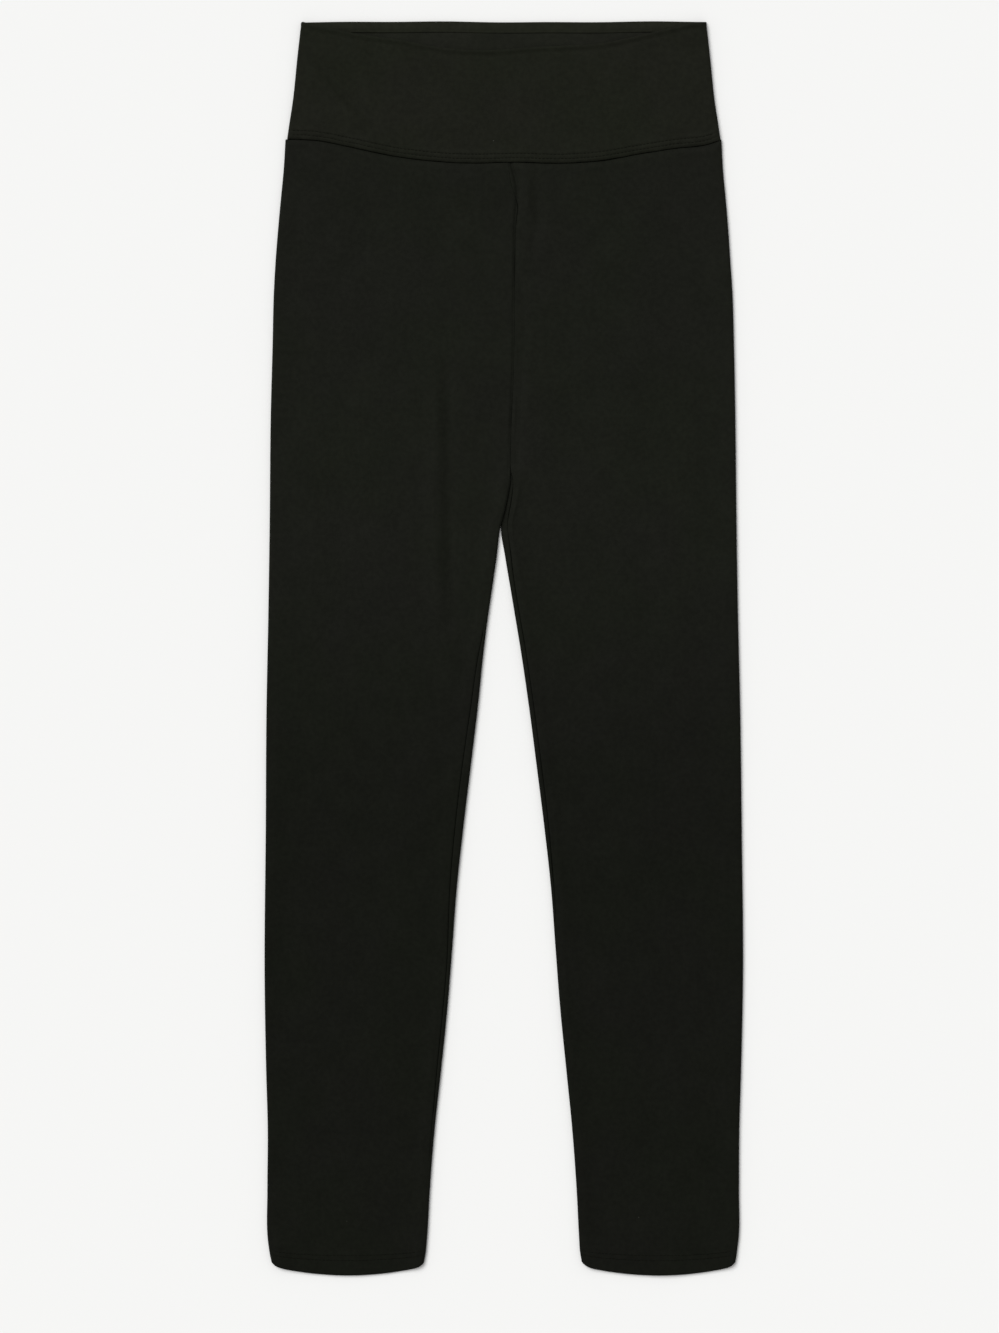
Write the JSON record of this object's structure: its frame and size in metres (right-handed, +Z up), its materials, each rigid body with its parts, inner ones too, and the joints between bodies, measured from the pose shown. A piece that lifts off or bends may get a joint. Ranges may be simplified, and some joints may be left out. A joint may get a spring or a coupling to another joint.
{
  "type": "leggings",
  "caption": "Full-length black jersey leggings lying flat, face up, with a wide waistband that dips at the front, a centre-front seam and turned-up hems.",
  "frame": {"origin": "on the surface that the leggings lie on, under the middle of their bounding box", "axes": "+Y towards the waist, +Z up from the surface and out of the front, +X towards the wearer's left leg"},
  "size_m": [0.3824, 1.003, 0.0046],
  "materials": {
    "leg_jersey": "matte fine jersey",
    "waistband_jersey": "matte fine jersey, doubled",
    "facing_jersey": "matte fine jersey, wrong side"
  },
  "bodies": {
    "root": {"leg_right": "leg_jersey", "leg_left": "leg_jersey", "waistband_front": "waistband_jersey", "waistband_back": "waistband_jersey", "waistband_back_facing": "facing_jersey"}
  },
  "joints": []
}
